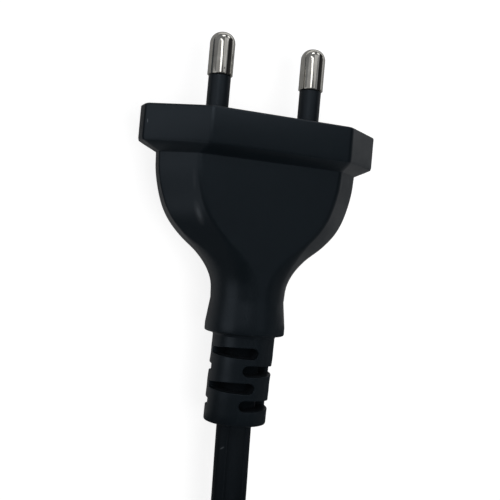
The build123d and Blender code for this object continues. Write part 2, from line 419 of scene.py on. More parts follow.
@dataclass(frozen=True)
class MouldedPlastic:
    """Black soft plastic with the fine grain of a textured mould, paler where its edges rub; painted shade darkens its
    slots, and its pale marks include painted highlights.
    """

    name: str
    dark: Colour = (0.0026, 0.0047, 0.0064)
    pale: Colour = (0.0032, 0.0057, 0.0077)
    sheen: Colour = (0.82, 0.95, 1.1)
    worn: Colour = (0.02, 0.023, 0.026)
    scraped: Colour = (0.09, 0.1, 0.11)
    roughness: tuple[float, float] = (0.32, 0.42)
    grain: float = 0.24
    grain_depth: float = 0.012
    # share of the colour left in the slots by their painted shade
    hollow_tone: float = 0.45
    specular: float = 0.5
    pale_marks: tuple[MarkAndHighlight, ...] = ()
    hollow_scuffs: tuple[MarkAndHighlight, ...] = ()

    def material(self) -> bpy.types.Material:
        """Builds the finish."""
        graph = NodeGraph(self.name)
        patches = graph.noise(6.0, 3.0, 0.6)
        specks = graph.noise(0.35, 2.0, 0.6)
        tone = graph.sum("ADD", graph.sum("MULTIPLY", patches, 0.75), graph.sum("MULTIPLY", specks, 0.25))
        rubbed = graph.sum("MULTIPLY", graph.attribute("edge", "Fac"), graph.spread(graph.noise(1.6, 4.0, 0.65), 0.42, 0.7, 0.0, 0.75))
        shade = graph.sum("ADD", graph.spread(tone, 0.3, 0.7, 0.0, 0.4), graph.sum("MULTIPLY", rubbed, 0.35))
        # pale marks raise the shade: scrapes, and painted highlights where given
        for pale_mark in self.pale_marks:
            shade = graph.sum("MAXIMUM", shade, pale_mark.mask(graph))
        # worn is also the colour that the painted ridge highlights reach
        stops = [(0.0, self.dark), (0.4, self.pale), (0.75, self.worn), (1.0, self.scraped)]
        # Painted shade: the slot floors' colour is darkened and roughened, and the marks given here lift that shade in
        # places.
        hollow = graph.attribute("hollow", "Fac")
        for pale_mark in self.hollow_scuffs:
            hollow = graph.sum("SUBTRACT", hollow, pale_mark.mask(graph))
        dim = graph.add("ShaderNodeVectorMath", operation="SCALE")
        graph.link(graph.colours(shade, stops), dim.inputs[0])
        graph.link(graph.spread(hollow, 0.0, 0.5, 1.0, self.hollow_tone), dim.inputs["Scale"])
        graph.link(dim.outputs["Vector"], graph.shader.inputs["Base Color"])
        low, high = self.roughness
        gloss = graph.sum("ADD", graph.spread(tone, 0.25, 0.75, low, high), graph.spread(hollow, 0.0, 0.5, 0.0, 0.5))
        graph.link(gloss, graph.shader.inputs["Roughness"])
        fine = graph.bump(graph.noise(self.grain, 2.0, 0.55), self.grain_depth)
        graph.link(graph.bump(graph.noise(7.0, 2.0), 0.03, fine), graph.shader.inputs["Normal"])
        graph.set(IOR=1.5, Specular_IOR_Level=self.specular, Specular_Tint=(*self.sheen, 1.0))
        return graph.material


@dataclass(frozen=True)
class SheathPlastic:
    """Extruded plastic of a sheath or a core, with faint draw lines along it."""

    name: str
    dark: Colour
    pale: Colour
    scraped: Colour = (0.09, 0.1, 0.11)
    sheen: Colour = (0.82, 0.95, 1.1)
    roughness: tuple[float, float] = (0.36, 0.5)
    pale_marks: tuple[MarkAndHighlight, ...] = ()

    def material(self) -> bpy.types.Material:
        """Builds the finish."""
        graph = NodeGraph(self.name)
        lay = graph.attribute("lay", "Vector")
        lines = graph.noise(0.35, 3.0, 0.6, graph.stretched(lay, (1.0, 1.0, 0.02)))
        patches = graph.noise(5.0, 3.0, 0.6, graph.stretched(lay, (1.0, 1.0, 0.25)))
        grain = graph.noise(0.2, 2.0, 0.5)
        shade = graph.sum("MULTIPLY", graph.spread(patches, 0.3, 0.7, 0.0, 1.0), 0.6)
        for pale_mark in self.pale_marks:
            shade = graph.sum("MAXIMUM", shade, pale_mark.mask(graph))
        stops = [(0.0, self.dark), (0.6, self.pale), (1.0, self.scraped)]
        graph.link(graph.colours(shade, stops), graph.shader.inputs["Base Color"])
        low, high = self.roughness
        graph.link(graph.spread(lines, 0.3, 0.7, low, high), graph.shader.inputs["Roughness"])
        under = graph.bump(grain, 0.006)
        graph.link(graph.bump(lines, 0.02, under), graph.shader.inputs["Normal"])
        graph.set(IOR=1.5, Specular_Tint=(*self.sheen, 1.0))
        return graph.material


@dataclass(frozen=True)
class PlatedMetal:
    """Bright metal with fine scratches along the way it is pushed, and a faint haze."""

    name: str
    bright: Colour
    dull: Colour
    roughness: tuple[float, float] = (0.05, 0.12)
    scratch_axis: tuple[float, float, float] = (1.0, 0.03, 1.0)
    pit: MarkAndHighlight | None = None

    def material(self) -> bpy.types.Material:
        """Builds the finish."""
        graph = NodeGraph(self.name)
        scratches = graph.noise(0.12, 3.0, 0.6, graph.stretched(graph.object_place, self.scratch_axis))
        haze = graph.noise(2.5, 3.0, 0.55)
        shade = graph.spread(haze, 0.3, 0.75, 0.35, 1.0)
        stops = [(0.0, (0.01, 0.01, 0.01)), (0.35, self.dull), (1.0, self.bright)]
        if self.pit is not None:
            clear = graph.sum("SUBTRACT", graph.sum("MULTIPLY", self.pit.mask(graph), -1.0), -1.0)
            shade = graph.sum("MULTIPLY", shade, clear)
        graph.link(graph.colours(shade, stops), graph.shader.inputs["Base Color"])
        low, high = self.roughness
        worn = graph.sum("ADD", graph.sum("MULTIPLY", scratches, 0.5), graph.sum("MULTIPLY", haze, 0.5))
        graph.link(graph.spread(worn, 0.3, 0.7, low, high), graph.shader.inputs["Roughness"])
        graph.link(graph.bump(scratches, 0.0012), graph.shader.inputs["Normal"])
        graph.set(Metallic=1.0)
        return graph.material


@dataclass(frozen=True)
class WovenBand:
    """Black woven band with a short nap."""

    name: str
    dark: Colour = (0.006, 0.006, 0.007)
    pale: Colour = (0.022, 0.022, 0.024)
    thread: float = 0.45

    def material(self) -> bpy.types.Material:
        """Builds the finish."""
        graph = NodeGraph(self.name)
        lay = graph.attribute("lay", "Vector")
        waves = []
        for direction in ("X", "Y"):
            wave = graph.add(
                "ShaderNodeTexWave",
                {"Scale": 1 / (self.thread * MM * 6.3), "Distortion": 1.2, "Detail": 2.0},
                bands_direction=direction,
            )
            graph.link(lay, wave.inputs["Vector"])
            waves.append(wave.outputs["Fac"])
        weave = graph.sum("MAXIMUM", waves[0], waves[1])
        nap = graph.noise(0.18, 3.0, 0.7)
        shade = graph.sum("MULTIPLY", weave, nap)
        graph.link(graph.colours(shade, [(0.1, self.dark), (0.7, self.pale)]), graph.shader.inputs["Base Color"])
        graph.link(graph.spread(nap, 0.2, 0.8, 0.7, 0.95), graph.shader.inputs["Roughness"])
        graph.link(graph.bump(shade, 0.12), graph.shader.inputs["Normal"])
        graph.set(Sheen_Weight=0.25)
        return graph.material


# Sections


@dataclass(frozen=True)
class Section:
    """Eight-sided outline with rounded corners, seen along the plug's axis, in mm."""

    half_width: float
    panel_half: float
    half_thickness: float
    end_half: float
    panel_round: float
    end_round: float
    panel_shift: float = 0.0

    def outline(self, per_corner: int) -> Outline:
        """Places round the outline, from the lower corner of its right end.

        Args:
            per_corner: places on each rounded corner.

        Returns:
            Places across and up.
        """
        wide, panel, thick, end = self.half_width, self.panel_half, self.half_thickness, self.end_half
        upper = [(wide, -end), (wide, end), (panel + self.panel_shift, thick), (self.panel_shift - panel, thick)]
        corners = upper + [(-x, -z) for x, z in upper]
        places: Outline = []
        for index, corner in enumerate(corners):
            here = Vector(corner)
            back = (Vector(corners[index - 1]) - here).normalized()
            ahead = (Vector(corners[(index + 1) % 8]) - here).normalized()
            radius = self.end_round if index % 4 < 2 else self.panel_round
            half_angle = back.angle(ahead) / 2
            centre = here + (back + ahead).normalized() * radius / math.sin(half_angle)
            first = here + back * radius / math.tan(half_angle) - centre
            turn = math.pi - 2 * half_angle
            for step in range(per_corner):
                spoke = first.copy()
                spoke.rotate(Matrix.Rotation(turn * step / (per_corner - 1), 2))
                places.append((centre.x + spoke.x, centre.y + spoke.y))
        return places

    def shrunk(self, inset: float) -> "Section":
        """The same outline moved in by an inset."""
        return Section(
            self.half_width - inset,
            self.panel_half - 0.35 * inset,
            self.half_thickness - inset,
            self.end_half - 0.35 * inset,
            self.panel_round,
            self.end_round,
            self.panel_shift,
        )


def round_section(radius: float, roundness: float = 0.92) -> Section:
    """Nearly round outline: a regular octagon with its corners rounded almost to a circle."""
    half_side = radius * math.tan(math.pi / 8)
    return Section(radius, half_side, radius, half_side, roundness * radius, roundness * radius)


def flat_outline(half_width: float, half_thickness: float, radius: float, per_corner: int) -> Outline:
    """Places round a rounded rectangle, from the middle of its lower right corner.

    Args:
        half_width: half its width.
        half_thickness: half its thickness.
        radius: rounding of its corners.
        per_corner: places on each corner.

    Returns:
        Places across and up.
    """
    places: Outline = []
    quarters = [(1, -1, -90), (1, 1, 0), (-1, 1, 90), (-1, -1, 180)]
    for side, way, start in quarters:
        centre_x, centre_z = side * (half_width - radius), way * (half_thickness - radius)
        for step in range(per_corner):
            angle = math.radians(start + 90 * step / (per_corner - 1))
            places.append((centre_x + radius * math.cos(angle), centre_z + radius * math.sin(angle)))
    half = per_corner // 2
    return places[half:] + places[:half]


# The plug's pieces


@dataclass
class StrainRelief:
    """The slotted tail of the moulding: slots open to one side and then the other, in mm."""

    start: float = 40.7
    end: float = 57.7
    radius: float = 5.95
    core_radius: float = 3.5
    end_rounding: float = 0.5
    slot_depths: tuple[float, ...] = (44.1, 47.35, 50.6, 53.85)
    slot_half_width: float = 0.58
    slot_draft: float = 4.5
    left_overlap: float = 0.97
    right_overlap: float = 1.72
    slot_nose: float = 0.3
    lean: tuple[tuple[float, float], ...] = ((40.7, 0.0), (44.0, -0.05), (50.0, -0.28), (56.0, -0.4), (57.7, -0.42))

    def angles(self, count: int) -> list[float]:
        """Bearings of the columns, with one on each slot's end."""
        bearings = []
        left_end = math.degrees(math.acos(self.left_overlap / self.radius))
        right_end = 180 - math.degrees(math.acos(self.right_overlap / self.radius))
        ends = [left_end, right_end, 180 + left_end, 180 + right_end]
        step = 360 / count
        for index in range(count):
            bearing = (-45 + step * index) % 360
            nearest = min(ends, key=lambda angle: abs(angle - bearing))
            bearings.append(math.radians(nearest if abs(nearest - bearing) < step / 2 else bearing))
        return bearings

    def shift(self, depth: float) -> float:
        """How far the tail leans sideways at a depth."""
        return smooth_table(self.lean, clamp(depth, self.start, self.end))[0]

    def reach(self, level: int, x: float, z: float) -> float:
        """How far a place is from a slot's closed end, towards its open side."""
        open_side, overlap = (1, self.right_overlap) if level % 2 else (-1, self.left_overlap)
        return x * open_side * (1 if z >= 0 else -1) + overlap

    def half_gap(self, level: int, x: float, z: float) -> float:
        """Half width of a slot over a place of the surface, closing to a round nose at its end."""
        half = self.slot_half_width + abs(z) * math.tan(math.radians(self.slot_draft))
        inside = self.reach(level, x, z)
        if 0 <= inside < half:
            half = max(self.slot_nose, math.sqrt(half**2 - (half - inside) ** 2))
        return half

    def rows(self) -> list[tuple[float, float, int, int]]:
        """Rings of the tail: depth, radius, and the slot and the side of it that the ring bounds."""
        rows = [(self.start + 0.12, self.radius + 0.25, -1, 0), (self.start + 0.55, self.radius, -1, 0)]
        rows.append((self.start + 1.4, self.radius, -1, 0))
        for level, depth in enumerate(self.slot_depths):
            rows += [(depth, self.radius, level, -1), (depth, self.radius, level, 1)]
            rows.append((depth + 1.625, self.radius, -1, 0))
        for share in (1.0, 0.62, 0.3, 0.0):
            sink = self.end_rounding * (1 - math.sqrt(1 - (1 - share) ** 2))
            rows.append((self.end - self.end_rounding * share, self.radius - sink, -1, 0))
        return rows

    def ring(self, depth: float, radius: float, level: int, side: int, count: int) -> list[Vector]:
        """Places round one ring of the tail."""
        places = []
        for angle in self.angles(count):
            x, z = radius * math.cos(angle), radius * math.sin(angle)
            back = depth + side * self.half_gap(level, x, z) if side else depth
            places.append(DATUM.at(x + self.shift(depth), back, z))
        return places

    def cut_slots(self, bm: BMesh, bands: dict[int, list[BMFace]]) -> None:
        """Sinks each slot's part of the surface to the tail's core and marks it for the painted shade in the slots.

        Args:
            bm: the moulding's mesh.
            bands: faces round the tail at each slot.
        """
        draft = math.tan(math.radians(self.slot_draft))
        hollow = bm.verts.layers.float["hollow"]
        for level, faces in bands.items():
            middle = self.slot_depths[level]
            lean = self.shift(middle)
            patch = []
            for face in faces:
                spot = face.calc_center_median() / MM
                if self.reach(level, spot.x - lean, spot.z - DATUM.axis_z) > 0:
                    patch.append(face)
            made = bmesh.ops.extrude_face_region(bm, geom=patch)["geom"]
            for vert in (item for item in made if isinstance(item, BMVert)):
                x, z = vert.co.x / MM - lean, vert.co.z / MM - DATUM.axis_z
                share = self.core_radius / math.hypot(x, z)
                back = DATUM.face_y - vert.co.y / MM - middle
                narrowed = math.copysign(abs(back) - abs(z) * (1 - share) * draft, back)
                vert.co = DATUM.at(x * share + lean, middle + narrowed, z * share)
                # marks this vertex for the painted shade that darkens the slots
                vert[hollow] = 1.0
            bmesh.ops.delete(bm, geom=[face for face in patch if face.is_valid], context="FACES")


@dataclass
class Moulding:
    """The outer moulding: flange, bevel, grip, neck, collar and strain relief in one shot, in mm."""

    finish: MouldedPlastic
    relief: StrainRelief = field(default_factory=StrainRelief)
    per_corner: int = 18
    flange: Section = Section(23.7, 13.95, 9.65, 1.75, 1.8, 0.9, 0.6)
    flange_depth: float = 6.7
    face_rounding: float = 0.45
    rear_rounding: float = 0.9
    bevel_foot: float = 8.4
    foot_rounding: float = 0.35
    grip_half_width: float = 20.25
    grip_facet_run: float = 6.0
    grip_half_thickness: float = 7.05
    grip_end_half: float = 1.2
    grip_panel_round: float = 1.8
    grip_end_round: float = 0.7
    grip_rings: int = 44
    neck_radius: float = 7.0
    neck_depth: float = 34.3
    panel_end: float = 28.0
    panel_rise: float = 0.05
    collar_radius: float = 7.6
    collar_depth: float = 40.7
    collar_land: float = 1.6
    collar_rounding: float = 0.4
    hole_pitch: float = 19.0
    hole_radius: float = 2.2
    hole_depth: float = 1.2
    cord_half: tuple[float, float, float] = (3.36, 2.16, 1.75)
    taper: tuple[tuple[float, float, float], ...] = (
        (0.00, 1.000, 1.00),
        (0.13, 0.980, 1.00),
        (0.26, 0.922, 1.00),
        (0.38, 0.834, 1.00),
        (0.48, 0.708, 1.00),
        (0.58, 0.516, 0.90),
        (0.68, 0.282, 0.40),
        (0.78, 0.116, 0.12),
        (0.88, 0.024, 0.02),
        (1.00, 0.000, 0.00),
    )

    @property
    def count(self) -> int:
        """Places round each ring."""
        return 8 * self.per_corner

    def grip_section(self, depth: float) -> Section:
        """Outline of the grip at a depth."""
        way = (depth - self.bevel_foot) / (self.neck_depth - self.bevel_foot)
        width_left, run_left = smooth_table(self.taper, way)
        neck, side = self.neck_radius, self.neck_radius * math.tan(math.pi / 8)
        neck_round = 0.92 * neck
        wide = neck + (self.grip_half_width - neck) * width_left
        run = (neck - side) + (self.grip_facet_run - neck + side) * run_left
        thick = neck + (self.grip_half_thickness - neck) * width_left
        thick += self.panel_rise * (0.5 - ease((depth - self.panel_end) / 0.5 + 0.5)) * (1 - way)
        end = side + (self.grip_end_half - side) * width_left
        panel_round = neck_round + (self.grip_panel_round - neck_round) * run_left
        end_round = neck_round + (self.grip_end_round - neck_round) * max(width_left, run_left)
        return Section(wide, wide - run, thick, end, panel_round, end_round)

    def stations(self) -> list[tuple[float, Section]]:
        """Outlines from the engagement face to the collar's rear edge, with their depths."""
        flange, rounding = self.flange, self.face_rounding
        stations = []
        for share in (0.0, 0.3, 0.62, 1.0):
            sink = rounding * (1 - math.sqrt(1 - (1 - share) ** 2))
            stations.append((rounding * share, flange.shrunk(sink)))
        stations.append((self.flange_depth / 2, flange))
        grip = self.grip_section(self.bevel_foot)
        slope = self.bevel_foot - self.flange_depth
        for along in (-0.6, -0.3, 0.0, 0.3, 0.6):
            back = self.flange_depth + along * self.rear_rounding
            share = max(along, 0.0) * self.rear_rounding / slope
            sag = self.rear_rounding * 0.22 * (1 - abs(along) / 0.6)
            stations.append((back, self.between(flange, grip, share).shrunk(sag * 0.55)))
        for share in (0.5, 0.8):
            stations.append((self.flange_depth + slope * share, self.between(flange, grip, share)))
        length = self.neck_depth - self.bevel_foot
        for step in range(self.grip_rings + 1):
            depth = self.bevel_foot + length * step / self.grip_rings
            stations.append((depth, self.grip_section(depth)))
        flare = ((self.neck_depth, self.neck_radius), (36.7, 7.3), (self.collar_depth - self.collar_land, self.collar_radius))
        for depth in (35.1, 35.9, 36.7, 37.5, 38.3, 39.1):
            stations.append((depth, round_section(smooth_table(flare, depth)[0])))
        for share in (1.0, 0.62, 0.3, 0.0):
            sink = self.collar_rounding * (1 - math.sqrt(1 - (1 - share) ** 2))
            stations.append((self.collar_depth - self.collar_rounding * share, round_section(self.collar_radius - sink)))
        stations.append((self.collar_depth - 0.1, round_section(self.relief.radius + 0.75)))
        return stations

    @staticmethod
    def between(first: Section, second: Section, share: float) -> Section:
        """Outline at a share of the way between two others."""
        pairs = zip(vars(first).values(), vars(second).values())
        return Section(*(a + (b - a) * share for a, b in pairs))

    def places(self, depth: float, section: Section) -> list[Vector]:
        """Places round an outline at a depth."""
        return [DATUM.at(x, depth, z) for x, z in section.outline(self.per_corner)]

    def mark_edges(self, bm: BMesh) -> None:
        """Notes how sharply the surface bends at each vertex, for the rubbed edges."""
        layer = bm.verts.layers.float["edge"]
        bm.normal_update()
        for vert in bm.verts:
            angles = [edge.calc_face_angle(0.0) for edge in vert.link_edges if edge.is_convex]
            vert[layer] = clamp(max(angles, default=0.0) / 0.45)

    def build(self) -> bpy.types.Object:
        """Builds the moulding.

        Returns:
            The piece.
        """
        bm = bmesh.new()
        # edge is for rubbed wear; the second layer carries the painted shade of the slots
        for name in ("edge", "hollow"):
            bm.verts.layers.float.new(name)
        stations = self.stations()
        loop = front = start_ring(bm, self.places(*stations[0]))
        for depth, section in stations[1:]:
            loop = grow_ring(bm, loop, self.places(depth, section))
        bands: dict[int, list[BMFace]] = {}
        for depth, radius, level, side in self.relief.rows():
            grown = grow_ring(bm, loop, self.relief.ring(depth, radius, level, side, self.count))
            if side > 0:
                shared = set(grown)
                bands[level] = [face for face in {f for v in grown for f in v.link_faces} if shared & set(face.verts)]
            loop = grown
        lean = self.relief.shift(self.relief.end)
        hole = flat_outline(*self.cord_half, self.count // 4)
        for depth in (self.relief.end, self.relief.end - 1.5):
            loop = grow_ring(bm, loop, [DATUM.at(x + lean, depth, z) for x, z in hole])
        bmesh.ops.contextual_create(bm, geom=loop)
        self.relief.cut_slots(bm, bands)
        self.close_face(bm, front)
        self.mark_edges(bm)
        piece = make_piece(bm, "moulding", 30.0)
        round_rims(piece, 0.12, 40.0)
        return settle(piece, self.finish.material(), "moulding", "outer_body")

    def close_face(self, bm: BMesh, front: list[BMVert]) -> None:
        """Closes the engagement face round the two pin holes and sinks the holes.

        Args:
            bm: the moulding's mesh.
            front: the ring at the face.
        """
        edges = ring_edges(front)
        holes = []
        for pole in Pole:
            x = pole.value * self.hole_pitch / 2
            turns = [2 * math.pi * step / 40 for step in range(40)]
            rim = [DATUM.at(x + self.hole_radius * math.cos(t), 0, self.hole_radius * math.sin(t)) for t in turns]
            hole = start_ring(bm, rim)
            holes.append((hole, rim))
            edges += ring_edges(hole)
        bmesh.ops.triangle_fill(bm, use_beauty=True, use_dissolve=False, edges=edges, normal=(0, 1, 0))
        for hole, rim in holes:
            end = grow_ring(bm, hole, [place - Vector((0, self.hole_depth * MM, 0)) for place in rim])
            bmesh.ops.contextual_create(bm, geom=end)


@dataclass
class PinPair:
    """The two pins with their insulating sleeves, in mm."""

    metal: PlatedMetal
    plain_metal: PlatedMetal
    sleeve_finish: MouldedPlastic
    pitch: float = 19.0
    length: float = 15.6
    radius: float = 2.4
    tip_share: float = 0.9
    sleeve_length: float = 7.36
    sleeve_radius: float = 2.125
    sleeve_end: float = 3.7
    shank_radius: float = 1.6
    ring_radius: float = 2.6
    ring_depth: float = 5.75
    ring_length: float = 1.2
    bridge_rear: float = 7.8
    barrel_radius: float = 1.5
    barrel_end: float = 13.8
    steps: int = 64

    def turned(self, bm: BMesh, x: float, profile: Sequence[tuple[float, float]]) -> None:
        """Turns a profile about a pin's axis.

        Args:
            bm: mesh to add to.
            x: the pin's place across.
            profile: depth and radius of each point of the profile.
        """
        verts = [bm.verts.new(DATUM.at(x, depth, radius)) for depth, radius in profile]
        edges = [bm.edges.new(pair) for pair in zip(verts, verts[1:])]
        bmesh.ops.spin(
            bm,
            geom=verts + edges,
            cent=DATUM.at(x, 0, 0),
            axis=(0, 1, 0),
            angle=2 * math.pi,
            steps=self.steps,
            use_merge=True,
        )
        bmesh.ops.remove_doubles(bm, verts=bm.verts, dist=1e-7)

    def pin_profile(self) -> list[tuple[float, float]]:
        """Profile of a pin from the middle of its tip to the rear of its crimp barrel."""
        round_radius = self.tip_share * self.radius
        flat = self.radius - round_radius
        profile = [(-self.length, 0.0)]
        for step in range(17):
            angle = math.pi / 2 * step / 16
            depth = -self.length + round_radius * (1 - math.cos(angle))
            profile.append((depth, flat + round_radius * math.sin(angle)))
        profile += [(-10.5, self.radius), (-self.sleeve_length - 0.3, self.radius)]
        profile += [(-self.sleeve_length - 0.14, self.radius), (-self.sleeve_length - 0.04, self.radius - 0.04)]
        profile += [(-self.sleeve_length, self.radius - 0.14), (-self.sleeve_length, self.shank_radius)]
        profile += [(self.ring_depth, self.shank_radius), (self.ring_depth, self.ring_radius)]
        profile += [(self.ring_depth + self.ring_length, self.ring_radius), (self.ring_depth + self.ring_length, self.shank_radius)]
        profile += [(self.bridge_rear, self.shank_radius), (self.bridge_rear, self.barrel_radius)]
        profile += [(self.barrel_end, self.barrel_radius), (self.barrel_end, 0.0)]
        return profile

    def sleeve_profile(self) -> list[tuple[float, float]]:
        """Profile of a sleeve, with a rounded front rim."""
        front, outer, inner = -self.sleeve_length, self.sleeve_radius, self.shank_radius
        profile = [(self.sleeve_end, inner), (front, inner), (front, outer - 0.16), (front + 0.05, outer - 0.05)]
        profile += [(front + 0.18, outer), (front + 0.4, outer), (-3.8, outer), (self.sleeve_end, outer), (self.sleeve_end, inner)]
        return profile

    def build(self) -> list[bpy.types.Object]:
        """Builds both pins and both sleeves.

        Returns:
            The pieces.
        """
        pieces = []
        sleeve_material = self.sleeve_finish.material()
        metals = {Pole.LEFT: self.metal.material(), Pole.RIGHT: self.plain_metal.material()}
        for pole in Pole:
            side = pole.name.lower()
            x = pole.value * self.pitch / 2
            bm = bmesh.new()
            self.turned(bm, x, self.pin_profile())
            pin = make_piece(bm, f"{side}_contact", 35.0)
            pieces.append(settle(pin, metals[pole], "pin_metal", f"{side}_pin"))
            bm = bmesh.new()
            self.turned(bm, x, self.sleeve_profile())
            sleeve = make_piece(bm, f"{side}_sleeve", 35.0)
            pieces.append(settle(sleeve, sleeve_material, "sleeve", f"{side}_pin_sleeve"))
        return pieces


@dataclass
class Cord:
    """The flat cord: a short lead, then two layers of turns that wind in and out again, in mm."""

    finish: SheathPlastic
    half_width: float = 3.3
    half_thickness: float = 2.1
    rounding: float = 1.7
    crease: float = 0.2
    coil_x: float = -17.0
    coil_y: float = -106.65
    outer_turn: float = 39.4
    low_z: float = 4.3
    high_z: float = 11.1
    turn_pitch: float = 4.28
    join_bearing: float = 38.0
    layer_turns: int = 3
    climb_degrees: float = 182.2
    jog_degrees: float = 150.0
    top_jog_delay: float = 100.0
    points_per_turn: int = 24
    declared_length: float = 1.4
    crease_width: float = 0.26
    twist_start: float = 16.0
    twist_end: float = 46.0
    lead: tuple[tuple[float, float, float], ...] = (
        (-0.42, -36.05, 9.65),
        (-0.36, -42.0, 9.65),
        (-0.15, -50.0, 9.62),
        (0.1, -57.1, 9.1),
        (1.5, -63.6, 8.1),
        (4.3, -69.65, 6.75),
        (8.6, -75.1, 5.15),
        (11.3, -78.75, 4.4),
    )

    def track(self, turned: float) -> float:
        """How many turn pitches the cord lies inside the outer turn.

        Args:
            turned: degrees wound since the lead's joint.

        Returns:
            Its track: a whole number, except where it jogs to the next one.
        """
        if turned < 360 * self.layer_turns:
            turn, share = divmod(turned, 360)
            return turn + ease((share - 360 + self.jog_degrees) / self.jog_degrees)
        turn, share = divmod(turned - self.top_jog_delay, 360)
        jog = ease((share - 360 + self.jog_degrees) / self.jog_degrees)
        return clamp(2 * self.layer_turns - turn - jog, 0, self.layer_turns)

    def winding(self) -> list[Vector]:
        """Control points of the turns, from the lead's joint to the end of the sheath."""
        step = 360 / self.points_per_turn
        swell = 1 / math.cos(math.radians(step / 2))
        layer = self.layer_turns * 360
        total = 2 * layer + self.climb_degrees
        points = []
        for index in range(math.ceil(total / step) + 1):
            turned = min(index * step, total)
            radius = self.outer_turn - self.turn_pitch * self.track(turned)
            radius *= swell if turned < total else 1.0
            rise = ease((turned - layer) / self.climb_degrees)
            bearing = math.radians(self.join_bearing - turned)
            across, along = radius * math.cos(bearing), radius * math.sin(bearing)
            height = self.low_z + (self.high_z - self.low_z) * rise
            points.append(Vector((self.coil_x + across, self.coil_y + along, height)))
        return points

    def route(self) -> list[Vector]:
        """Points of the smooth line through the lead and the turns, in metres, read from their spline."""
        points = [Vector(point) for point in self.lead] + self.winding()
        data = bpy.data.curves.new("cord_route", "CURVE")
        data.dimensions = "3D"
        data.resolution_u = 4
        spline = data.splines.new("NURBS")
        spline.points.add(len(points) - 1)
        for knot, point in zip(spline.points, points):
            knot.co = (*(point * MM), 1.0)
        spline.order_u = 3
        spline.use_endpoint_u = True
        line = bpy.data.objects.new("cord_route", data)
        mesh = bpy.data.meshes.new_from_object(line)
        path = [vert.co.copy() for vert in mesh.vertices]
        bpy.data.objects.remove(line)
        bpy.data.curves.remove(data)
        bpy.data.meshes.remove(mesh)
        return path

    def section(self) -> Outline:
        """Outline of the cord, with a fine crease along each edge of its two broad faces."""
        flat, top = self.half_width - self.rounding, self.half_thickness
        creased: Outline = []
        for across, up in flat_outline(self.half_width, top, self.rounding, 9):
            if math.isclose(abs(across), flat) and math.isclose(abs(up), top):
                low = (across, math.copysign(top - self.crease, up))
                high = (math.copysign(flat - self.crease_width, across), math.copysign(top, up))
                creased += [low, high] if across * up > 0 else [high, low]
            else:
                creased.append((across, up))
        return creased

    def build(self) -> tuple[bpy.types.Object, list[Vector]]:
        """Builds the cord along its line, turning it on edge before the coil.

        Returns:
            The piece and the points that it follows.
        """
        path = self.route()
        outline = self.section()
        bm = bmesh.new()
        loop: list[BMVert] = []
        lay = bm.verts.layers.float_vector.new("lay")
        run = 0.0
        for index, point in enumerate(path):
            run += (point - path[index - 1]).length / MM if index else 0.0
            heading = (path[min(index + 1, len(path) - 1)] - path[max(index - 1, 0)]).normalized()
            flat_side = Vector((-heading.y, heading.x, 0.0)).normalized()
            turn = ease((run - self.twist_start) / (self.twist_end - self.twist_start)) * math.pi / 2
            upright = flat_side.cross(heading) * -1.0
            wide = flat_side * math.cos(turn) + upright * math.sin(turn)
            thick = upright * math.cos(turn) - flat_side * math.sin(turn)
            places = [point + (wide * across + thick * up) * MM for across, up in outline]
            loop = grow_ring(bm, loop, places) if loop else start_ring(bm, places)
            for vert, (across, up) in zip(loop, outline):
                vert[lay] = Vector((across, up, run)) * MM
            if index in (0, len(path) - 1):
                bmesh.ops.contextual_create(bm, geom=loop)
        piece = make_piece(bm, "flat_cord", 50.0)
        settle(piece, self.finish.material(), "cord_sheath", "cord_lead", "cord_coil")
        return piece, path


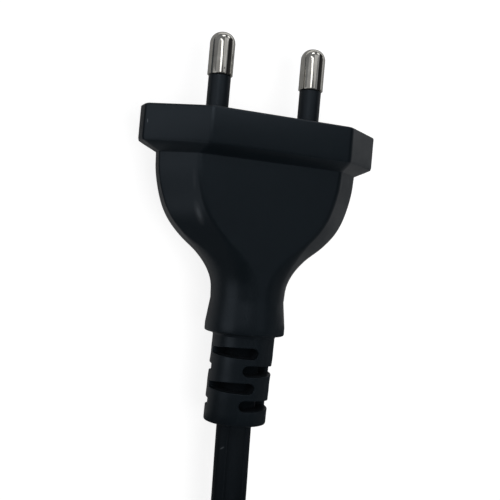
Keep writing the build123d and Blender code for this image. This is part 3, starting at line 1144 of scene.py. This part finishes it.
@dataclass
class StrippedEnd:
    """The far end of the cord: two coloured cores that end in bare twisted strands, in mm."""

    cord: Cord
    copper: PlatedMetal
    core_finishes: dict[CorePlace, SheathPlastic]
    core_radius: float = 1.2
    core_pitch: float = 3.2
    strand_bundle: float = 0.6
    strip_bearing: float = 155.0
    strand_length: float = 8.0
    core_length: float = 34.0
    lay_turns: float = 0.9

    def bearing_span(self, length: float) -> float:
        """Angle in degrees that a length takes on the outer turn."""
        return math.degrees(length / self.cord.outer_turn)

    def on_turn(self, bearing: float, out: float, up: float) -> Vector:
        """Place beside the upper outer turn, in metres."""
        angle = math.radians(bearing)
        radius = self.cord.outer_turn + out
        place = (self.cord.coil_x + radius * math.cos(angle), self.cord.coil_y + radius * math.sin(angle), up)
        return Vector(place) * MM

    def sweep(self, bm: BMesh, first: float, last: float, height: float, centre: tuple[float, float], radius: float, twist: float) -> None:
        """Draws a round thread along the turn, twisted about the core's middle.

        Args:
            bm: mesh to add to.
            first: bearing where it starts.
            last: bearing where it ends.
            height: height of the core's middle.
            centre: the thread's place beside that middle.
            radius: the thread's radius.
            twist: turns about the middle on the way.
        """
        lay = bm.verts.layers.float_vector.get("lay") or bm.verts.layers.float_vector.new("lay")
        steps = 28
        loop: list[BMVert] = []
        for step in range(steps + 1):
            share = step / steps
            spin = Matrix.Rotation(2 * math.pi * twist * share, 2)
            middle = spin @ Vector(centre)
            places = []
            for k in range(16 if twist == 0 else 8):
                angle = 2 * math.pi * k / (16 if twist == 0 else 8)
                out, up = middle.x + radius * math.cos(angle), middle.y + radius * math.sin(angle)
                places.append(self.on_turn(first + (last - first) * share, out, height + up))
            loop = grow_ring(bm, loop, places) if loop else start_ring(bm, places)
            for vert in loop:
                vert[lay] = Vector((0.0, 0.0, share * self.core_length)) * MM
            if step in (0, steps):
                bmesh.ops.contextual_create(bm, geom=loop)

    def build(self) -> list[bpy.types.Object]:
        """Builds the two cores and their strands.

        Returns:
            The pieces.
        """
        pieces = []
        copper = self.copper.material()
        bare_end = self.strip_bearing
        core_end = bare_end + self.bearing_span(self.strand_length)
        core_start = core_end + self.bearing_span(self.core_length)
        for place in CorePlace:
            name = place.name.lower()
            height = self.cord.high_z + place.value * self.core_pitch / 2
            bm = bmesh.new()
            self.sweep(bm, core_start, core_end, height, (0.0, 0.0), self.core_radius, 0.0)
            core = make_piece(bm, f"stripped_core_{name}", 50.0)
            pieces.append(settle(core, self.core_finishes[place].material(), "core_blue" if place is CorePlace.LOWER else "core_brown", f"far_core_{name}"))
            bm = bmesh.new()
            thread = self.strand_bundle / 3
            self.sweep(bm, core_end + 1.0, bare_end, height, (0.0, 0.0), thread, self.lay_turns)
            for k in range(6):
                angle = math.pi / 3 * k
                centre = (2 * thread * math.cos(angle), 2 * thread * math.sin(angle))
                self.sweep(bm, core_end + 1.0, bare_end, height, centre, thread * 0.98, self.lay_turns)
            strands = make_piece(bm, f"bare_strands_{name}", 50.0)
            pieces.append(settle(strands, copper, "copper", f"far_strands_{name}"))
        return pieces


@dataclass
class CoilTie:
    """A woven band closed round the coil's turns, in mm."""

    finish: WovenBand
    cord: Cord
    mean_radius: float = 32.95
    half_across: float = 8.8
    half_height: float = 6.8
    base: float = 0.9
    rounding: float = 1.6
    thickness: float = 0.75
    width: float = 8.0
    bearing: float = -50.0
    steps: int = 10

    def build(self) -> bpy.types.Object:
        """Builds the band.

        Returns:
            The piece.
        """
        bm = bmesh.new()
        lay = bm.verts.layers.float_vector.new("lay")
        outline = flat_outline(self.half_across + 0.05, self.half_height + 0.05, self.rounding, 10)
        around = [0.0]
        for (x0, z0), (x1, z1) in zip(outline, outline[1:]):
            around.append(around[-1] + math.hypot(x1 - x0, z1 - z0))
        middle_z = self.base + self.half_height
        span = self.width / self.mean_radius
        loop: list[BMVert] = []
        for step in range(self.steps + 1):
            angle = math.radians(self.bearing) + span * step / self.steps
            places = []
            for out, up in outline:
                radius = self.mean_radius + out
                spot = (self.cord.coil_x + radius * math.cos(angle), self.cord.coil_y + radius * math.sin(angle), middle_z + up)
                places.append(Vector(spot) * MM)
            loop = grow_ring(bm, loop, places) if loop else start_ring(bm, places)
            for vert, run in zip(loop, around):
                vert[lay] = Vector((run, self.width * step / self.steps, 0.0)) * MM
        bmesh.ops.recalc_face_normals(bm, faces=bm.faces)
        bmesh.ops.solidify(bm, geom=bm.faces[:], thickness=-self.thickness * MM)
        piece = make_piece(bm, "tie_band", 40.0)
        round_rims(piece, 0.25, 40.0)
        return settle(piece, self.finish.material(), "tie", "coil_tie")


@dataclass
class HiddenPieces:
    """Finishes of the pieces that the moulding covers."""

    finishes: dict[str, bpy.types.Material]

    def dress(self) -> None:
        """Gives each covered solid its finish."""
        for node, material in self.finishes.items():
            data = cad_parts[node].data
            data.materials.clear()
            data.materials.append(material)
            LOG.info("%s keeps its solid", node)


# Studio


@dataclass(frozen=True)
class SoftLamp:
    """A flat soft lamp or card: where it hangs and its size, in mm, and its brightness."""

    name: str
    place: tuple[float, float, float]
    size: tuple[float, float]
    radiance: float
    mirrored: bool = True


@dataclass(frozen=True)
class FloorCards:
    """Flat cards on the floor that only reflections show, dark ones as painted floor shade and a glowing pale one as a
    painted reflection: their edges in mm, their colour and their own light.
    """

    name: str
    edges: tuple[tuple[float, float, float, float], ...]
    colour: Colour
    glow: float = 0.0


@dataclass
class Studio:
    """White sweep, soft lamps and the camera of the photograph, in mm."""

    focal: float = 61.41
    sensor: float = 36.0
    eye: tuple[float, float, float] = (-61.69, -5.70, 161.41)
    right: tuple[float, float, float] = (0.92291214, 0.0885497, 0.37468937)
    up: tuple[float, float, float] = (-0.08660082, 0.99599854, -0.02207274)
    back: tuple[float, float, float] = (-0.3751446, -0.01207721, 0.92688762)
    room_across: tuple[tuple[float, float], ...] = ((-1.0, 1.5), (-0.6, 1.3), (-0.35, 1.25), (0.0, 0.95), (0.3, 0.55), (0.43, 2.3), (0.52, 2.1), (0.585, 0.2), (0.72, 0.12), (1.0, 0.3))
    room_along: tuple[tuple[float, float], ...] = ((-1.0, 0.12), (-0.7, 0.08), (-0.3, 0.01), (-0.15, 0.01), (-0.11, 0.13), (-0.06, 0.27), (-0.02, 0.24), (0.03, 0.11), (0.06, 0.1), (0.2, 0.15), (1.0, 0.2))
    cards: tuple[FloorCards, ...] = (
        # dark cards: painted shade on the floor round the plug, seen only in reflections
        FloorCards(
            "floor_shade_cards",
            (
                (-120.0, -35.0, -80.0, 60.0),
                (-35.0, -27.0, -6.0, 24.0),
                (12.0, 48.0, -80.0, -18.0),
                (48.0, 110.0, -80.0, -9.0),
                (40.0, 52.0, 6.0, 17.0),
                (-35.0, -5.5, -80.0, -38.0),
            ),
            (0.08, 0.09, 0.1),
        ),
        # pale card: glows to give the pin tips a painted reflection
        FloorCards("glowing_reflection_card", ((-20.0, 90.0, 57.0, 140.0),), (0.85, 0.85, 0.83), 0.2),
    )
    floor_glow: tuple[tuple[str, float], ...] = (("Is Camera Ray", 0.86), ("Is Glossy Ray", 0.06), ("Is Transmission Ray", 0.06))
    lamps: tuple[SoftLamp, ...] = (
        SoftLamp("fill", (80.0, -100.0, 470.0), (350.0, 350.0), 3.1, mirrored=False),
        SoftLamp("far_card", (20.0, 91.0, 117.0), (70.0, 92.0), 0.47),
        SoftLamp("key", (-78.0, 90.0, 150.0), (30.0, 100.0), 2.2),
        SoftLamp("back_window", (-15.0, 150.0, 50.0), (40.0, 30.0), 2.5),
        SoftLamp("back_pane", (60.0, 140.0, 50.0), (40.0, 40.0), 1.0),
        SoftLamp("left_card", (-62.0, 16.5, 30.0), (47.0, 30.0), 0.325),
        SoftLamp("left_rear", (-62.0, -20.5, 34.0), (25.0, 32.0), 0.5),
        SoftLamp("left_high", (-62.0, 48.0, 75.0), (74.0, 54.0), 0.2),
        SoftLamp("right_card", (85.0, 14.0, 8.0), (48.0, 16.0), 0.2),
        SoftLamp("right_pins", (85.0, 58.0, 13.0), (40.0, 26.0), 0.36),
        SoftLamp("right_rear", (62.0, -30.0, 46.0), (64.0, 44.0), 0.13),
    )

    def camera(self) -> None:
        """Places the camera."""
        data = bpy.data.cameras.new("camera")
        data.lens = self.focal
        data.sensor_width = self.sensor
        data.clip_start = 0.005
        camera = bpy.data.objects.new("camera", data)
        turn = Matrix((self.right, self.up, self.back)).transposed().to_4x4()
        camera.matrix_world = Matrix.Translation(Vector(self.eye) * MM) @ turn
        bpy.context.scene.collection.objects.link(camera)
        bpy.context.scene.camera = camera

    def floor(self) -> None:
        """Makes the white floor, which keeps a faint shadow."""
        bm = bmesh.new()
        bmesh.ops.create_grid(bm, x_segments=1, y_segments=1, size=3.0)
        floor = make_piece(bm, "floor")
        material = bpy.data.materials.new("white_floor")
        material.use_nodes = True
        tree = material.node_tree
        shader = tree.nodes["Principled BSDF"]
        shader.inputs["Base Color"].default_value = (0.32, 0.32, 0.32, 1.0)
        shader.inputs["Roughness"].default_value = 0.9
        shader.inputs["Specular IOR Level"].default_value = 0.0
        glow = tree.nodes.new("ShaderNodeEmission")
        paths = tree.nodes.new("ShaderNodeLightPath")
        level: bpy.types.NodeSocket | None = None
        for ray, share in self.floor_glow:
            part = tree.nodes.new("ShaderNodeMath")
            part.operation = "MULTIPLY_ADD"
            part.inputs[1].default_value = share
            part.inputs[2].default_value = 0.0
            tree.links.new(paths.outputs[ray], part.inputs[0])
            if level is not None:
                tree.links.new(level, part.inputs[2])
            level = part.outputs[0]
        tree.links.new(level, glow.inputs["Strength"])
        lit = tree.nodes.new("ShaderNodeAddShader")
        tree.links.new(shader.outputs["BSDF"], lit.inputs[0])
        tree.links.new(glow.outputs["Emission"], lit.inputs[1])
        tree.links.new(lit.outputs["Shader"], tree.nodes["Material Output"].inputs["Surface"])
        floor.data.materials.append(material)

    def lay_cards(self, cards: FloorCards) -> None:
        """Lays flat cards beside the plug, which only its reflections show, as painted floor shade and painted
        reflections.

        Args:
            cards: the cards of one colour.
        """
        bm = bmesh.new()
        for low_x, high_x, low_y, high_y in cards.edges:
            spread = Matrix.Diagonal(((high_x - low_x) / 2 * MM, (high_y - low_y) / 2 * MM, 1.0, 1.0))
            middle = Vector(((low_x + high_x) / 2, (low_y + high_y) / 2, 0.1)) * MM
            bmesh.ops.create_grid(bm, x_segments=1, y_segments=1, size=1.0, matrix=Matrix.Translation(middle) @ spread)
        laid = make_piece(bm, cards.name)
        material = bpy.data.materials.new(cards.name)
        material.use_nodes = True
        shader = material.node_tree.nodes["Principled BSDF"]
        shader.inputs["Base Color"].default_value = (*cards.colour, 1.0)
        shader.inputs["Specular IOR Level"].default_value = 0.0
        shader.inputs["Emission Color"].default_value = (1.0, 1.0, 1.0, 1.0)
        shader.inputs["Emission Strength"].default_value = cards.glow
        laid.data.materials.append(material)
        for ray in ("camera", "diffuse", "transmission", "shadow"):
            setattr(laid, f"visible_{ray}", False)

    def lamp(self, lamp: "SoftLamp") -> None:
        """Hangs a soft lamp that faces the plug."""
        data = bpy.data.lights.new(lamp.name, "AREA")
        data.shape = "RECTANGLE"
        data.size, data.size_y = lamp.size[0] * MM, lamp.size[1] * MM
        data.energy = lamp.radiance * math.pi * data.size * data.size_y
        hung = bpy.data.objects.new(lamp.name, data)
        hung.location = Vector(lamp.place) * MM
        hung.rotation_euler = (hung.location - DATUM.at(0, 25, 0)).to_track_quat("Z", "Y").to_euler()
        hung.visible_glossy = lamp.mirrored
        hung.visible_camera = False
        bpy.context.scene.collection.objects.link(hung)

    def world(self) -> None:
        """Sets the room's dim light, darker behind the cord and on the right, and white to the camera."""
        world = bpy.data.worlds.new("room")
        world.use_nodes = True
        tree = world.node_tree
        background = tree.nodes["Background"]
        background.inputs["Color"].default_value = (0.96, 0.98, 1.02, 1.0)
        split = tree.nodes.new("ShaderNodeSeparateXYZ")
        tree.links.new(tree.nodes.new("ShaderNodeTexCoord").outputs["Generated"], split.inputs["Vector"])
        product = tree.nodes.new("ShaderNodeMath")
        product.operation = "MULTIPLY"
        for slot, (axis, stops) in enumerate((("X", self.room_across), ("Y", self.room_along))):
            share = tree.nodes.new("ShaderNodeMapRange")
            share.inputs["From Min"].default_value = -1.0
            tree.links.new(split.outputs[axis], share.inputs["Value"])
            ramp = tree.nodes.new("ShaderNodeValToRGB")
            elements = ramp.color_ramp.elements
            for index, (place, level) in enumerate(stops):
                element = elements[index] if index < 2 else elements.new(place / 2 + 0.5)
                element.position = place / 2 + 0.5
                element.color = (level, level, level, 1.0)
            tree.links.new(share.outputs["Result"], ramp.inputs["Fac"])
            tree.links.new(ramp.outputs["Color"], product.inputs[slot])
        seen = tree.nodes.new("ShaderNodeMath")
        seen.operation = "MAXIMUM"
        tree.links.new(product.outputs[0], seen.inputs[0])
        tree.links.new(tree.nodes.new("ShaderNodeLightPath").outputs["Is Camera Ray"], seen.inputs[1])
        tree.links.new(seen.outputs[0], background.inputs["Strength"])
        bpy.context.scene.world = world

    def build(self) -> None:
        """Sets up the whole studio."""
        bpy.context.scene.view_settings.view_transform = "Standard"
        self.world()
        self.floor()
        for cards in self.cards:
            self.lay_cards(cards)
        for lamp in self.lamps:
            self.lamp(lamp)
        self.camera()


def main() -> None:
    """Builds the plug, its cord and the studio."""
    logging.basicConfig(level=logging.INFO, format="%(name)s: %(message)s")
    tick = MarkAndHighlight((-23.22, 18.26, 11.8), (-23.14, 17.18, 11.87), 0.16)
    speck = MarkAndHighlight((-3.7, -28.85, 13.6), (-3.3, -29.15, 13.6), 0.5)
    # painted highlights: two pale strokes along the grip's left ridge, where a reflection of light falls
    ridge_highlight = MarkAndHighlight((-14.85, 12.6, 15.6), (-14.15, 4.6, 15.5), 0.95, core=0.3, strength=0.6)
    bend_highlight = MarkAndHighlight((-14.35, 5.0, 15.5), (-11.8, -1.1, 15.05), 1.5, core=0.1, strength=0.83)
    scratch = MarkAndHighlight((-3.4, -41.86, 10.8), (-2.6, -41.0, 11.6), 0.3)
    pit = MarkAndHighlight((-9.54, 29.40, 12.05), (-9.54, 29.56, 12.05), 0.16)
    black = {"dark": (0.0024, 0.0038, 0.0051), "pale": (0.0032, 0.0049, 0.0064)}
    nickel = {"bright": (0.66, 0.645, 0.6), "dull": (0.52, 0.505, 0.465)}
    cord_finish = SheathPlastic("cord_sheath", **black, pale_marks=(scratch,))
    brown = SheathPlastic("brown_core", (0.1, 0.04, 0.018), (0.17, 0.075, 0.036))
    blue = SheathPlastic("blue_core", (0.02, 0.085, 0.32), (0.035, 0.13, 0.42))
    copper = PlatedMetal("copper_strands", (0.8, 0.42, 0.25), (0.55, 0.24, 0.13), (0.2, 0.4))
    bridge = MouldedPlastic("bridge_plastic", dark=(0.03, 0.03, 0.033), pale=(0.05, 0.05, 0.055))

    Moulding(MouldedPlastic("black_moulding", pale_marks=(tick, speck, ridge_highlight, bend_highlight), hollow_scuffs=(speck,))).build()
    PinPair(
        PlatedMetal("nickel_pitted", **nickel, pit=pit),
        PlatedMetal("nickel", **nickel),
        MouldedPlastic(
            "sleeve_plastic",
            dark=(0.0055, 0.0076, 0.0096),
            pale=(0.0066, 0.009, 0.0112),
            roughness=(0.34, 0.44),
            grain_depth=0.005,
            specular=0.42,
        ),
    ).build()
    cord = Cord(cord_finish)
    line, path = cord.build()
    ends = StrippedEnd(cord, copper, {CorePlace.LOWER: blue, CorePlace.UPPER: brown}).build()
    tie = CoilTie(WovenBand("woven_tie"), cord).build()
    sheath = bpy.data.materials["cord_sheath"]
    copper_bare = bpy.data.materials["copper_strands"]
    HiddenPieces(
        {
            "pin_bridge": bridge.material(),
            "left_core": bpy.data.materials["brown_core"],
            "right_core": bpy.data.materials["blue_core"],
            "left_conductor": copper_bare,
            "right_conductor": copper_bare,
            "cord_in_plug": sheath,
        }
    ).dress()
    Studio().build()


if __name__ == "__main__":
    main()
